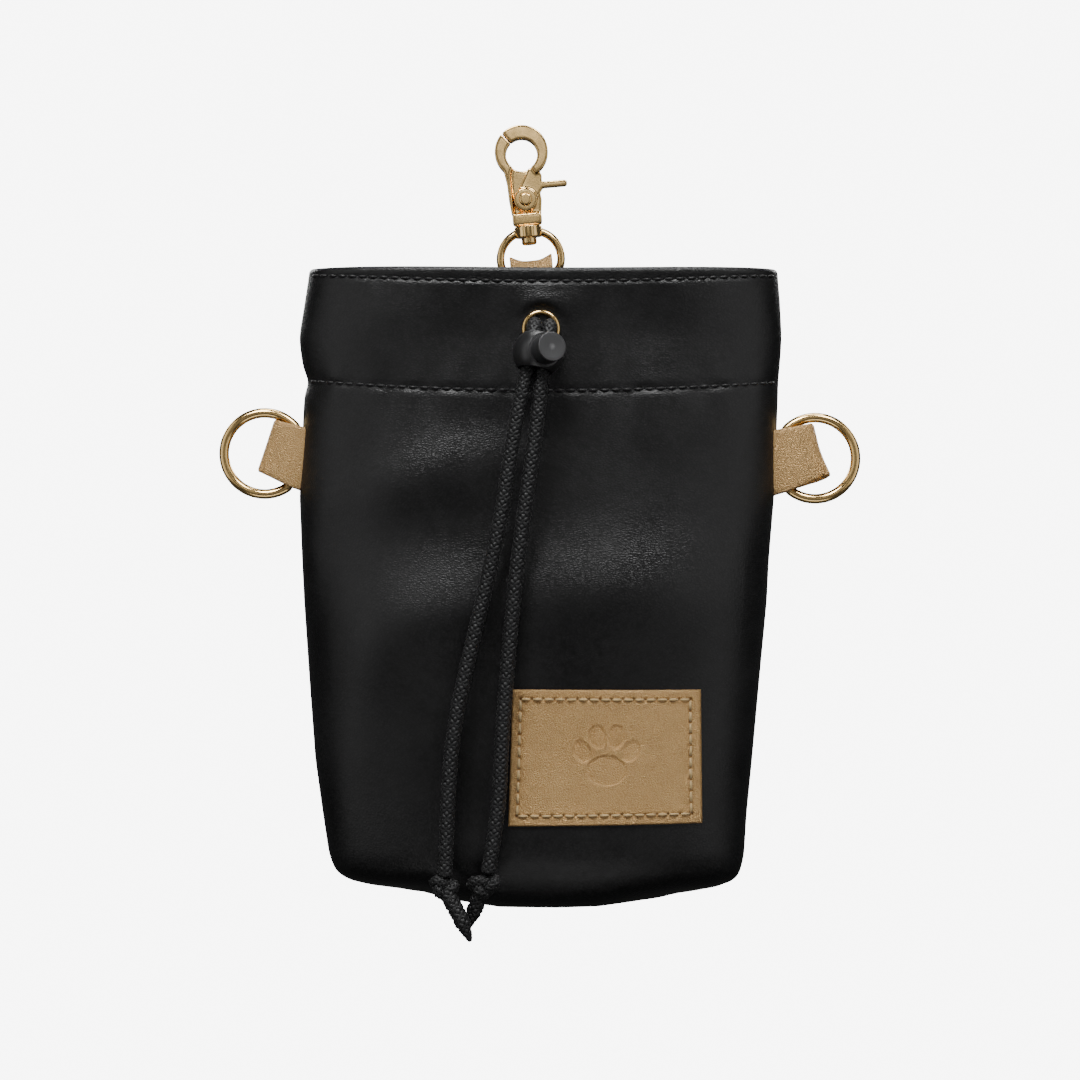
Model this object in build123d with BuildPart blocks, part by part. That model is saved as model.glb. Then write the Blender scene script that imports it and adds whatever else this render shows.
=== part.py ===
"""Drawstring treat pouch that hangs from a scissor snap hook.

Frame: the origin is the centre of the snap hook's ring, +Z is up, and the pouch's front faces -Y.
All lengths are millimetres. The hook leans a few degrees to the left above the pouch.
"""

import os
from math import asin, cos, degrees, pi, radians, sin, sqrt, tan

from build123d import *

# ---- pouch -------------------------------------------------------------------------------
pouch_y = -22.0  # the side seams lie in this plane
rim_z = -35.3
wall = 1.2  # the outer leather
# height, half width, half depth and centre x of the outer leather, from the rim to the base
wall_sections = [
    (rim_z, 66.6, 18.0, 6.4),
    (-52.0, 67.9, 18.0, 5.6),
    (-72.0, 67.6, 18.6, 5.5),
    (-100.0, 67.5, 20.6, 4.5),
    (-130.0, 65.8, 21.8, 4.1),
    (-160.0, 63.3, 21.4, 3.9),
    (-185.0, 60.9, 20.4, 4.0),
    (-202.0, 59.2, 19.3, 4.4),
    (-207.6, 57.4, 17.6, 4.6),
    (-211.2, 51.5, 14.8, 4.8),
    (-213.4, 44.0, 12.2, 5.0),
    (-214.6, 36.0, 9.6, 5.2),
]
hem_z = -39.2  # the row of stitches under the rim
channel_z = -69.2  # the row of stitches that closes the drawstring channel
facing_thickness = 0.8
lining_thickness = 0.5

# ---- eyelet and drawstring -----------------------------------------------------------------
eyelet_x = 5.67
eyelet_z = -53.4
eyelet_radius = 5.2
eyelet_bore = 4.4
cord_diameter = 4.1
cord_spacing = 4.2  # between the two strands where they lie side by side
front_y = -40.0  # the front leather at the eyelet
cord_start_y = -38.9  # where the channel's loop ends and each free strand begins

# ---- snap hook -----------------------------------------------------------------------------
hook_tilt = 5.1  # degrees to the left
ring_radius = 7.8
ring_hole = 4.55
ring_offset = 0.88  # the outer circle is centred above the hole
hook_half = 2.3  # half the hook's thickness
rivet_up = -13.2
rivet_radius = 1.15
trigger_fit = 0.05
flange_up = -20.7  # the underside of the hook's base
eye_wire = 1.18
eye_bar_up = -34.9

# ---- D-rings and their straps ----------------------------------------------------------------
ring_wire = 1.4
ring_arc = 11.6
ring_bar = 8.1  # from the arc's centre to the straight bar
ring_corner = 2.2
strap_thickness = 1.1

# ---- cord lock -------------------------------------------------------------------------------
lock_centre = Vector(4.84, -52.0, -60.76)
lock_radius = 7.0
lock_lean_left = 9.6
lock_lean_back = 12.0
lock_swing = 21.0  # the button points this far to the right of the front
lock_end = 5.0  # the ball is cut off flat this far above and below its centre
plunger_radius = 4.75
plunger_fit = 0.08
press_travel = 1.2

os.makedirs("parts", exist_ok=True)


def save(part, name):
    """Label a finished piece and write it to its own file."""
    part.label = name
    export_step(part, f"parts/{name}.step")


def wall_at(z):
    """Half width, half depth and centre x of the outer leather at a height, between sections."""
    for upper, lower in zip(wall_sections, wall_sections[1:]):
        if z >= lower[0]:
            break
    share = min(1.0, (upper[0] - z) / (upper[0] - lower[0]))
    return [a + share * (b - a) for a, b in zip(upper[1:], lower[1:])]


def oval(z, half_width, half_depth, centre_x):
    """An ellipse at a height, to loft through."""
    with BuildSketch(Plane(origin=(centre_x, pouch_y, z))) as outline:
        Ellipse(half_width, half_depth)
    return outline.sketch


# ================================================================================================
# The two leather panels: one lofted shell, parted at the side seams. Straight bands between the
# sections keep the wall's inside and outside from crossing
# ================================================================================================
def seam_frame(side, x, z, lean_degrees):
    """A frame at a side seam: local X outwards and up by the lean, local Y along the seam."""
    lean = radians(lean_degrees)
    return Plane(
        origin=(x, pouch_y, z), x_dir=(side * cos(lean), 0, sin(lean)), z_dir=(0, -side, 0)
    )


left_strap_frame = seam_frame(-1, -66.6, -89.9, 13.0)
right_strap_frame = seam_frame(1, 75.3, -89.8, 9.0)
left_ring_frame = seam_frame(-1, -65.25, -88.92, 8.0)
right_ring_frame = seam_frame(1, 75.87, -89.58, 3.0)
# how far each strap runs into its seam, how far out its fold is, its width and its middle
left_strap_shape = (-6.8, 8.4, 15.4, 1.6)
right_strap_shape = (-6.8, 10.0, 15.0, 0.0)


def strap_slot(frame, shape):
    """The slot that a strap needs in the side seam, with a wider mouth where the strap opens."""
    root, _, width, middle = shape
    slot_plane = Plane(
        origin=frame.from_local_coords((0, middle - width / 2 - 0.15, 0)),
        x_dir=frame.x_dir, z_dir=frame.y_dir,
    )
    with BuildSketch(slot_plane) as slot:
        with Locations((root / 2, 0)):
            Rectangle(-root + 0.6, 2 * strap_thickness + 0.3)
        with Locations((-1.6, 0)):
            Rectangle(6.8, 2 * (ring_wire + 0.3 + strap_thickness) + 0.6)
    return slot.sketch


hollow_sections = [(rim_z + 2, 66.4 - wall, 18.0 - wall, 6.5)]
for z, half_width, half_depth, centre_x in wall_sections[:8]:
    hollow_sections.append((z, half_width - wall, half_depth - wall, centre_x))
for z, half_width, half_depth, centre_x in wall_sections[8:]:
    hollow_sections.append((z + wall, half_width - wall - 1.2, half_depth - wall - 0.8, centre_x))

with BuildPart() as shell:
    loft([oval(*section) for section in wall_sections], ruled=True)
    loft([oval(*section) for section in hollow_sections], ruled=True, mode=Mode.SUBTRACT)
    for frame, shape in ((left_strap_frame, left_strap_shape), (right_strap_frame, right_strap_shape)):
        extrude(strap_slot(frame, shape), amount=shape[2] + 0.3, mode=Mode.SUBTRACT)
    # the eyelet's hole
    with BuildSketch(Plane(origin=(eyelet_x, pouch_y, eyelet_z), z_dir=(0, -1, 0))):
        Circle(eyelet_bore + 0.35)
    extrude(amount=30, mode=Mode.SUBTRACT)

seam_plane = Plane(origin=(0, pouch_y, 0), z_dir=(0, 1, 0))
with BuildPart() as back_panel:
    add(shell.part)
    split(bisect_by=seam_plane, keep=Keep.TOP)
save(back_panel.part, "back_panel")

with BuildPart() as front_panel:
    add(shell.part)
    split(bisect_by=seam_plane, keep=Keep.BOTTOM)
save(front_panel.part, "front_panel")

# ================================================================================================
# The facing: a band inside the mouth that bulges inwards round the drawstring
# ================================================================================================
channel_depth = cord_diameter + 2.5
facing_gaps = [
    (rim_z - 0.4, 0.35),
    (hem_z - 1.0, 0.35),
    (eyelet_z + 7.5, 0.55 * channel_depth),
    (eyelet_z + 2.5, channel_depth),
    (eyelet_z - 2.5, channel_depth),
    (eyelet_z - 7.5, 0.55 * channel_depth),
    (channel_z + 1.5, 0.35),
    (channel_z - 2.5, 0.35),
]


def facing_sections(extra):
    """The band's outer surface, or its inner one with its thickness as extra."""
    sections = []
    for z, gap in facing_gaps:
        half_width, half_depth, centre_x = wall_at(z)
        inset = wall + gap + extra
        sections.append(oval(z, half_width - inset, half_depth - inset, centre_x))
    return sections


with BuildPart() as mouth_facing:
    loft(facing_sections(0), ruled=True)
    loft(facing_sections(facing_thickness), ruled=True, mode=Mode.SUBTRACT)
save(mouth_facing.part, "mouth_facing")

# ================================================================================================
# The lining: a thin bag that hangs below the facing
# ================================================================================================
lining_sections = [
    (z, half_width - 5.6, half_depth - wall - 0.9, centre_x)
    for z, half_width, half_depth, centre_x in wall_sections[2:8]
] + [
    (z + wall + 0.5, half_width - 6.8, half_depth - wall - 1.9, centre_x)
    for z, half_width, half_depth, centre_x in wall_sections[8:]
]
lining_hollow = []
for z, half_width, half_depth, centre_x in lining_sections:
    lift = 0 if z > wall_sections[8][0] else lining_thickness
    lining_hollow.append(
        (z + lift, half_width - lining_thickness, half_depth - lining_thickness, centre_x)
    )
with BuildPart() as lining:
    loft([oval(*section) for section in lining_sections], ruled=True)
    loft([oval(*section) for section in lining_hollow], ruled=True, mode=Mode.SUBTRACT)
save(lining.part, "lining")

# ================================================================================================
# Eyelet and its washer, set through the front panel
# ================================================================================================
eyelet_plane = Plane(origin=(eyelet_x, 0, eyelet_z), x_dir=(1, 0, 0), z_dir=(0, -1, 0))
front_face = -front_y
with BuildPart() as eyelet:
    with BuildSketch(eyelet_plane.offset(front_face + 0.2)):
        Circle(eyelet_radius)
    extrude(amount=0.75)
    fillet(eyelet.edges().group_by(Axis.Y)[0], radius=0.5)
    with BuildSketch(eyelet_plane.offset(front_face + 0.25)):
        Circle(eyelet_bore + 0.28)
    extrude(amount=-2.1)
    with BuildSketch(eyelet_plane.offset(front_face + 1)):
        Circle(eyelet_bore)
    extrude(amount=-3.4, mode=Mode.SUBTRACT)
    fillet(eyelet.edges().filter_by(GeomType.CIRCLE).group_by(Axis.Y)[0].sort_by(SortBy.RADIUS)[0],
           radius=0.2)
save(eyelet.part, "eyelet")

with BuildPart() as eyelet_washer:
    with BuildSketch(eyelet_plane.offset(front_face - wall - 0.1)):
        Circle(eyelet_radius)
        Circle(eyelet_bore + 0.3, mode=Mode.SUBTRACT)
    extrude(amount=-0.5)
save(eyelet_washer.part, "eyelet_washer")

# ================================================================================================
# Snap hook: body, rivet, trigger, spring and swivel post
# ================================================================================================
hook_right = Vector(cos(radians(hook_tilt)), 0, sin(radians(hook_tilt)))
hook_up = Vector(-sin(radians(hook_tilt)), 0, cos(radians(hook_tilt)))
hook_plane = Plane(origin=(0, 0, 0), x_dir=hook_right, z_dir=(0, -1, 0))
jaw_split = 128.5  # degrees round the ring from the right, where the two jaws meet
# towards the front is positive on the hook's plane
trigger_front, web_front, trigger_back = 2.1, 1.5, -0.6
plate_front = -0.95


def across_hook(up):
    """A plane square to the hook's length."""
    return Plane(origin=hook_up * up, x_dir=hook_right, z_dir=hook_up)


def jaw_sector(start, end):
    """The part of the ring between two angles, on the hook's back face."""
    reach = 2 * ring_radius
    steps = 6
    fan = [(0, 0)]
    for k in range(steps + 1):
        angle = radians(start + (end - start) * k / steps)
        fan.append((reach * cos(angle), reach * sin(angle)))
    with BuildSketch(hook_plane.offset(-hook_half)) as sector:
        with Locations((0, ring_offset)):
            Circle(ring_radius)
        Circle(ring_hole, mode=Mode.SUBTRACT)
        with BuildLine():
            Polyline(*fan, close=True)
        make_face(mode=Mode.INTERSECT)
    return sector.sketch


with BuildPart() as clip_body:
    # left jaw and the wall below it, at full thickness
    extrude(jaw_sector(jaw_split + 1.2, 232), amount=2 * hook_half)
    with BuildSketch(hook_plane.offset(-hook_half)):
        with BuildLine():
            Polyline(
                (-5.9, -2.6), (-3.4, -3.6), (-3.8, -6.6), (-3.85, -17.2), (-4.4, -17.2),
                (-4.85, -13.2), (-5.0, -8.5), close=True,
            )
        make_face()
    extrude(amount=2 * hook_half)
    # back plate behind the trigger
    with BuildSketch(hook_plane.offset(-hook_half)):
        with BuildLine():
            Polyline(
                (-4.85, -13.2), (-5.0, -8.5), (-4.9, -4.4), (-4.2, -2.6), (1.6, -3.4),
                (2.0, -4.4), (3.0, -6.5), (4.3, -8.6), (4.8, -13.2), (4.2, -18.0),
                (-4.2, -18.0), close=True,
            )
        make_face()
        Circle(ring_hole, mode=Mode.SUBTRACT)
    extrude(amount=hook_half + plate_front)
    # base
    with BuildSketch(hook_plane.offset(-hook_half)):
        with Locations((0, (flange_up - 17.2) / 2)):
            RectangleRounded(8.6, -17.2 - flange_up, 0.9)
    extrude(amount=2 * hook_half)
    with BuildSketch(hook_plane.offset(-hook_half - 1)):
        with Locations((0, rivet_up)):
            Circle(rivet_radius)
    extrude(amount=3, mode=Mode.SUBTRACT)
    with BuildSketch(across_hook(flange_up - 1)):
        Circle(1.5)
    extrude(amount=6, mode=Mode.SUBTRACT)
save(clip_body.part, "clip_body")

with BuildPart() as clip_trigger:
    # right jaw at full thickness
    extrude(jaw_sector(-58, jaw_split - 1.2), amount=2 * hook_half)
    # boss, and the lower web and thumb tab
    with BuildSketch(hook_plane.offset(trigger_back)):
        with Locations((0, rivet_up)):
            Circle(3.4)
    extrude(amount=trigger_front - trigger_back)
    with BuildSketch(hook_plane.offset(trigger_back)):
        with BuildLine():
            Polyline(
                (1.6, -4.1), (4.4, -4.3), (5.4, -6.4), (5.2, -8.3), (5.2, -10.5),
                (3.2, -13.6), (-2.4, -11.2), (-0.4, -7.6), close=True,
            )
        make_face()
        with Locations((8.2, -9.3)):
            RectangleRounded(8.8, 2.0, 0.9)
    extrude(amount=web_front - trigger_back)
    # bore and the spring's pocket
    with BuildSketch(hook_plane.offset(-hook_half)):
        with Locations((0, rivet_up)):
            Circle(rivet_radius + trigger_fit)
    extrude(amount=2 * hook_half, mode=Mode.SUBTRACT)
    with BuildSketch(hook_plane.offset(trigger_back)):
        with Locations((0, rivet_up)):
            Circle(2.6)
    extrude(amount=1.5, mode=Mode.SUBTRACT)
save(clip_trigger.part, "clip_trigger")

rivet_centre = hook_up * rivet_up
with BuildPart() as clip_rivet:
    with BuildSketch(Plane(origin=rivet_centre, x_dir=hook_right, z_dir=(0, -1, 0)).offset(-2.75)):
        Circle(1.9)
    extrude(amount=0.43)
    with BuildSketch(Plane(origin=rivet_centre, x_dir=hook_right, z_dir=(0, -1, 0)).offset(-2.4)):
        Circle(rivet_radius)
    extrude(amount=5.0)
    with BuildSketch(Plane(origin=rivet_centre, x_dir=hook_right, z_dir=(0, -1, 0)).offset(2.2)):
        Circle(1.9)
    extrude(amount=0.8)
    fillet(clip_rivet.edges().filter_by(GeomType.CIRCLE).group_by(Axis.Y)[0], radius=0.6)
save(clip_rivet.part, "clip_rivet")

with BuildPart() as clip_spring:
    with BuildLine() as coil:
        Helix(pitch=0.5, height=0.9, radius=1.95,
              center=rivet_centre + Vector(0, -0.35, 0), direction=(0, 1, 0))
    with BuildSketch(Plane(origin=coil.line @ 0, z_dir=coil.line % 0)):
        Circle(0.22)
    sweep(path=coil.line, is_frenet=True)
save(clip_spring.part, "clip_spring")

with BuildPart() as swivel_post:
    with BuildSketch(across_hook(-17.6)):
        Circle(1.5)
    extrude(amount=-7.0)
    with BuildSketch(across_hook(-24.45)):
        Circle(2.2)
    extrude(amount=-1.9)
    fillet(swivel_post.edges().group_by(Axis.Z)[0], radius=0.7)
save(swivel_post.part, "swivel_post")

with BuildPart() as clip_eye:
    with BuildLine(hook_plane) as eye_line:
        bar = Line((-5.5, eye_bar_up), (5.5, eye_bar_up))
        right_corner = JernArc(start=bar @ 1, tangent=(1, 0), radius=3.2, arc_size=75)
        right_arc = JernArc(start=right_corner @ 1, tangent=right_corner % 1, radius=8.1,
                            arc_size=105)
        left_corner = JernArc(start=bar @ 0, tangent=(-1, 0), radius=3.2, arc_size=-75)
        left_arc = JernArc(start=left_corner @ 1, tangent=left_corner % 1, radius=8.1,
                           arc_size=-105)
        Line(right_arc @ 1, left_arc @ 1)
    with BuildSketch(Plane(origin=hook_up * eye_bar_up, z_dir=hook_right)):
        Circle(eye_wire)
    sweep(path=eye_line.wires()[0])
    with BuildSketch(across_hook(flange_up - 0.2)):
        Circle(3.95)
    extrude(amount=-3.3)
    with BuildSketch(across_hook(flange_up)):
        Circle(1.5 + trigger_fit)
    extrude(amount=-5, mode=Mode.SUBTRACT)
save(clip_eye.part, "clip_eye")

# ================================================================================================
# Straps: the one at the back holds the hook's eye, the two in the seams hold the D-rings
# ================================================================================================
with BuildPart() as back_strap:
    with BuildSketch(Plane(origin=(0, 0, 0), x_dir=(0, 1, 0), z_dir=hook_right)):
        with BuildLine() as strap_line:
            FilletPolyline(
                (-3.0, -66), (-3.0, -44), (-2.35, -32.55), (2.35, -32.55), (2.35, -37.5),
                (-1.85, -50), (-1.85, -66), radius=[8, 2.3, 2.3, 6, 6],
            )
        trace(line_width=strap_thickness)
    extrude(amount=5.9, both=True)
save(back_strap.part, "back_strap")


def side_strap(frame, shape, name):
    """A strap folded round the D-ring's bar, with both ends in the side seam."""
    root, fold, width, middle = shape
    leg = ring_wire + 0.3 + strap_thickness / 2
    closed = strap_thickness / 2 + 0.02
    section_plane = Plane(
        origin=frame.from_local_coords((0, middle - width / 2, 0)),
        x_dir=frame.x_dir, z_dir=frame.y_dir,
    )
    with BuildPart() as strap:
        with BuildSketch(section_plane):
            with BuildLine():
                FilletPolyline(
                    (root, closed), (root + 2.0, closed), (root + 4.0, leg),
                    (fold, leg), (fold, -leg), (root + 4.0, -leg), (root + 2.0, -closed),
                    (root, -closed), radius=[0.9, 0.9, leg - 0.02, leg - 0.02, 0.9, 0.9],
                )
            trace(line_width=strap_thickness)
        extrude(amount=width)
    save(strap.part, name)


side_strap(left_strap_frame, left_strap_shape, "left_strap")
side_strap(right_strap_frame, right_strap_shape, "right_strap")


def d_ring(frame, name):
    """A wire D-ring whose straight bar lies on the frame's local Y axis."""
    # the corner arcs touch the bar's line and the large arc
    inner_arc = ring_arc - ring_corner
    corner_y = sqrt(inner_arc**2 - (ring_bar - ring_corner) ** 2)
    turn = degrees(asin(corner_y / inner_arc))
    with BuildPart() as ring:
        with BuildLine(frame) as outline:
            bar = Line((0, -corner_y), (0, corner_y))
            top = JernArc(start=bar @ 1, tangent=(0, 1), radius=ring_corner, arc_size=-turn)
            bottom = JernArc(start=bar @ 0, tangent=(0, -1), radius=ring_corner, arc_size=turn)
            ThreePointArc(top @ 1, (ring_bar + ring_arc, 0), bottom @ 1)
        with BuildSketch(Plane(origin=bar @ 0, z_dir=bar % 0)):
            Circle(ring_wire)
        sweep(path=outline.wires()[0])
    save(ring.part, name)


d_ring(left_ring_frame, "left_ring")
d_ring(right_ring_frame, "right_ring")

# ================================================================================================
# Stitched label
# ================================================================================================
label_centre = (24.0, -173.4)
label_size = (53.9, 38.2)
label_thickness = 1.0


def front_surface(x, z):
    """How far forward the front leather is at a place."""
    half_width, half_depth, centre_x = wall_at(z)
    return pouch_y - half_depth * sqrt(1 - ((x - centre_x) / half_width) ** 2)


label_left = label_centre[0] - label_size[0] / 2
label_right = label_centre[0] + label_size[0] / 2
with BuildPart() as label_patch:
    for z in [label_centre[1] + label_size[1] / 2, label_centre[1], label_centre[1] - label_size[1] / 2]:
        columns = [label_left + label_size[0] * k / 6 for k in range(7)]
        back = [(x, front_surface(x, z) - 0.4) for x in columns]
        front = [(x, y - label_thickness) for x, y in back]
        with BuildSketch(Plane(origin=(0, 0, z))):
            with BuildLine():
                near = Spline(*back)
                far = Spline(*front)
                Line(near @ 0, far @ 0)
                Line(near @ 1, far @ 1)
            make_face()
    loft(ruled=True)
save(label_patch.part, "label_patch")

# ================================================================================================
# Drawstring: the loop in the channel and the two strands that hang through the cord lock
# ================================================================================================
lean_left = radians(lock_lean_left)
lean_back = radians(lock_lean_back)
lock_up = Vector(sin(lean_left) * cos(lean_back), sin(lean_back), cos(lean_left) * cos(lean_back))
lock_side = Vector(cos(lean_left), 0, -sin(lean_left))
lock_front = lock_side.cross(lock_up)


def corner_radii(points):
    """The largest arc at each corner: 0.45 of the shorter run over the tangent of half the turn."""
    radii = []
    for before, corner, after in zip(points, points[1:], points[2:]):
        first = Vector(corner) - Vector(before)
        second = Vector(after) - Vector(corner)
        half_turn = radians(first.get_angle(second)) / 2
        radii.append(0.45 * min(first.length, second.length) / tan(half_turn))
    return radii


def cord_tube(points, name):
    """A plain round cord along straight runs joined by arcs."""
    radii = corner_radii(points)
    with BuildPart() as tube:
        with BuildLine() as route:
            FilletPolyline(*points, radius=radii)
        with BuildSketch(Plane(origin=route.line @ 0, z_dir=route.line % 0)):
            Circle(cord_diameter / 2)
        sweep(path=route.wires()[0])
    length = route.wires()[0].length
    section = pi * cord_diameter**2 / 4
    print(name, "length", round(length, 1), "least radius", round(min(radii), 1),
          "radii", [round(r, 1) for r in radii],
          "volume over section times length", round(tube.part.volume / section / length, 4))
    save(tube.part, name)


def through_lock(side):
    """The bend above the lock and the end of the straight stretch below it."""
    above = lock_centre + lock_up * 8.9 + lock_side * (side * cord_spacing / 2)
    below = lock_centre - lock_up * 6.2 + lock_side * (side * cord_spacing / 2)
    return [tuple(above), tuple(below)]


def strand_start(side):
    """The strand's first points, straight out of the eyelet."""
    x = eyelet_x + side * cord_spacing / 2
    return [(x, cord_start_y, eyelet_z + 0.1), (x, -42.7, eyelet_z + 0.1)]


left_route = strand_start(-1) + through_lock(-1) + [
    (-1.5, -53.2, -80.5), (-5.0, -52.4, -104.0), (-8.6, -51.2, -121.5), (-14.4, -49.8, -145.0),
    (-18.9, -48.7, -166.0), (-20.4, -47.9, -187.0), (-21.0, -47.2, -206.0),
]
right_route = strand_start(1) + through_lock(1) + [
    (4.5, -53.1, -81.0), (1.0, -52.5, -105.0), (-1.3, -51.4, -122.5), (-3.5, -50.0, -146.0),
    (-5.3, -48.8, -169.0), (-5.9, -47.9, -187.5), (-9.0, -47.2, -205.0),
]
cord_tube(left_route, "drawstring_left")
cord_tube(right_route, "drawstring_right")

left_knot_centre = (-21.4, -47.1, -209.0)
right_knot_centre = (-10.2, -47.0, -208.5)
left_tail_route = [(-20.9, -47.4, -210.2), (-18.6, -48.2, -214.0), (-16.2, -48.6, -218.4),
                   (-13.9, -48.7, -224.2)]
right_tail_route = [(-11.0, -46.4, -209.9), (-12.1, -45.0, -213.6), (-13.4, -44.2, -217.0),
                    (-15.0, -43.9, -221.4)]
cord_tube(left_tail_route, "left_tail")
cord_tube(right_tail_route, "right_tail")


def knot(centre, width, height, lean, name):
    """The outer shape of a tight overhand knot: a short barrel with rounded ends."""
    tilt = radians(lean)
    axis = Vector(cos(tilt), 0, sin(tilt))
    with BuildPart() as barrel:
        with BuildSketch(Plane(origin=Vector(*centre) - axis * (width / 2), z_dir=axis)):
            Circle(height / 2)
        extrude(amount=width)
        fillet(barrel.edges().filter_by(GeomType.CIRCLE), radius=height / 2 - 0.6)
    save(barrel.part, name)


knot(left_knot_centre, 8.4, 6.6, -12, "left_knot")
knot(right_knot_centre, 9.4, 6.9, 8, "right_knot")

# the loop inside the channel: in through the eyelet, round the mouth, and out beside itself
loop_half_width, loop_half_depth, loop_x = wall_at(eyelet_z)
loop_half_width -= wall + 0.6 + cord_diameter / 2
loop_half_depth -= wall + 0.6 + cord_diameter / 2
loop_z = eyelet_z + 0.1
quarter = []  # distances from the mouth's centre, from the middle of a side to its end
for share in (0.37, 0.65, 0.87):
    quarter.append((share * loop_half_width, loop_half_depth * sqrt(1 - share**2)))
quarter.append((0.978 * loop_half_width, 3.2))


def loop_corner(side, towards_back, point):
    """One of the quarter's points, mirrored to the side and half of the mouth it is wanted in."""
    return (loop_x + side * point[0], pouch_y + towards_back * point[1], loop_z)


def loop_exit(side):
    """The two tight bends between the eyelet and the channel."""
    x = eyelet_x + side * cord_spacing / 2
    return [(x, cord_start_y, loop_z), (x, -36.5, loop_z),
            (x + side * 3.0, -34.7, loop_z), (x + side * 9.0, -35.0, loop_z)]


half_loop = [loop_corner(-1, -1, point) for point in quarter]
half_loop += [loop_corner(-1, 1, point) for point in reversed(quarter)]
other_half = [loop_corner(1, 1, point) for point in quarter]
other_half += [loop_corner(1, -1, point) for point in reversed(quarter)]
back_middle = [(loop_x, pouch_y + loop_half_depth, loop_z)]
cord_tube(
    loop_exit(-1) + half_loop + back_middle + other_half + list(reversed(loop_exit(1))),
    "drawstring_loop",
)

# ================================================================================================
# Cord lock: ball, push button and the spring behind it
# ================================================================================================
swing = radians(lock_swing)
button_axis = lock_front * cos(swing) + lock_side * sin(swing)
lock_plane = Plane(origin=lock_centre, x_dir=lock_side, z_dir=lock_up)
plunger_plane = Plane(origin=lock_centre, x_dir=lock_up, z_dir=button_axis)
slot_plane = Plane(origin=lock_centre, x_dir=button_axis.cross(lock_up), z_dir=lock_up)
bore_width = 2 * cord_spacing + 0.35
bore_depth = cord_diameter + 0.8
step_radius = 4.45  # the narrow back of the button's hole
step_back, floor_back, pocket_back = -4.2, -4.75, -5.9
slot_back, slot_front = -2.95, 4.05
head_radius = 4.12
head_start, head_end = 4.8, 10.2


def lock_section(up, width, depth):
    """A rounded oblong across the bore."""
    with BuildSketch(lock_plane.offset(up)) as outline:
        RectangleRounded(width, depth, 0.47 * depth)
    return outline.sketch


with BuildPart() as lock_body:
    flat = degrees(asin(lock_end / lock_radius))
    with Locations(lock_plane):
        Sphere(lock_radius, arc_size1=-flat, arc_size2=flat)
    with BuildSketch(plunger_plane.offset(step_back)):
        Circle(plunger_radius + plunger_fit)
    extrude(amount=12, mode=Mode.SUBTRACT)
    with BuildSketch(plunger_plane.offset(floor_back)):
        Circle(step_radius)
    extrude(amount=3, mode=Mode.SUBTRACT)
    with BuildSketch(plunger_plane.offset(pocket_back)):
        Circle(2.2)
    extrude(amount=3, mode=Mode.SUBTRACT)
    extrude(lock_section(0, bore_width, bore_depth), amount=6, both=True, mode=Mode.SUBTRACT)
    for way in (-1, 1):
        loft(
            [lock_section(way * 2.6, bore_width, bore_depth),
             lock_section(way * (lock_end + 0.05), bore_width + 0.5, bore_depth + 2.6)],
            mode=Mode.SUBTRACT,
        )
save(lock_body.part, "lock_body")

with BuildPart() as lock_button:
    with BuildSketch(plunger_plane.offset(slot_back - 0.55)):
        Circle(step_radius - 0.1)
    extrude(amount=0.6)
    with BuildSketch(plunger_plane.offset(slot_back)):
        Circle(plunger_radius)
    extrude(amount=head_start - slot_back)
    with BuildSketch(plunger_plane.offset(head_start)):
        Circle(head_radius)
    extrude(amount=head_end - head_start)
    fillet(lock_button.faces().sort_by(Axis((0, 0, 0), button_axis))[-1].edges(), radius=0.3)
    with BuildSketch(slot_plane.offset(-6)):
        with Locations((0, (slot_front + slot_back) / 2)):
            Rectangle(2 * 4.3, slot_front - slot_back)
    extrude(amount=12, mode=Mode.SUBTRACT)
    with Locations(plunger_plane.offset(head_end + 34.85)):
        Sphere(35, mode=Mode.SUBTRACT)
save(lock_button.part, "lock_button")

with BuildPart() as lock_spring:
    with BuildLine() as coil:
        Helix(pitch=0.7, height=1.9, radius=1.55,
              center=lock_centre + button_axis * (pocket_back + 0.25), direction=button_axis)
    with BuildSketch(Plane(origin=coil.line @ 0, z_dir=coil.line % 0)):
        Circle(0.2)
    sweep(path=coil.line, is_frenet=True)
save(lock_spring.part, "lock_spring")

print("hook right", hook_right, "up", hook_up)
print("left ring axis", left_ring_frame.y_dir, "right ring axis", right_ring_frame.y_dir)
print("button axis", button_axis, "lock up", lock_up)
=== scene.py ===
"""The treat pouch's looks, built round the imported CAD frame.

Lengths are metres unless a name or a comment says mm.
"""

from math import cos, pi, radians, sin, sqrt

import bpy
import numpy as np
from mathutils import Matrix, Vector


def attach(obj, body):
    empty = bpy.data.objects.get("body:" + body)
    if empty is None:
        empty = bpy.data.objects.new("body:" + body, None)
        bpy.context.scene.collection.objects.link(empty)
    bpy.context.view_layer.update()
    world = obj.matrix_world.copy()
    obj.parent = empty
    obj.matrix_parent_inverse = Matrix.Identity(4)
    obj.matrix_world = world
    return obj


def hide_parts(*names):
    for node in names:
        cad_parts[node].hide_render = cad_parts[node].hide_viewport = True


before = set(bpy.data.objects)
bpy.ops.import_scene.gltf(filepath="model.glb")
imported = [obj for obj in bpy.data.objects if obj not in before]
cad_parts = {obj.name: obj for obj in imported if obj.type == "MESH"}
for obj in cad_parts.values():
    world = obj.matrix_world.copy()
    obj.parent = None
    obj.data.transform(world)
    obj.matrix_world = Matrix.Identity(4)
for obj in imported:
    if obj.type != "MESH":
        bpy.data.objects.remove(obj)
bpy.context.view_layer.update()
MM = 0.001

# ================================================================================================
# Camera
# ================================================================================================
POUCH_Y = -22.0 * MM
CAMERA_DISTANCE = 0.95  # from the pouch's middle plane
VIEW_WIDTH = 0.3086  # what the frame covers at that plane
VIEW_CENTRE_X, VIEW_CENTRE_Z = 5.39 * MM, -112.5 * MM
SENSOR = 36.0  # width in mm


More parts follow.
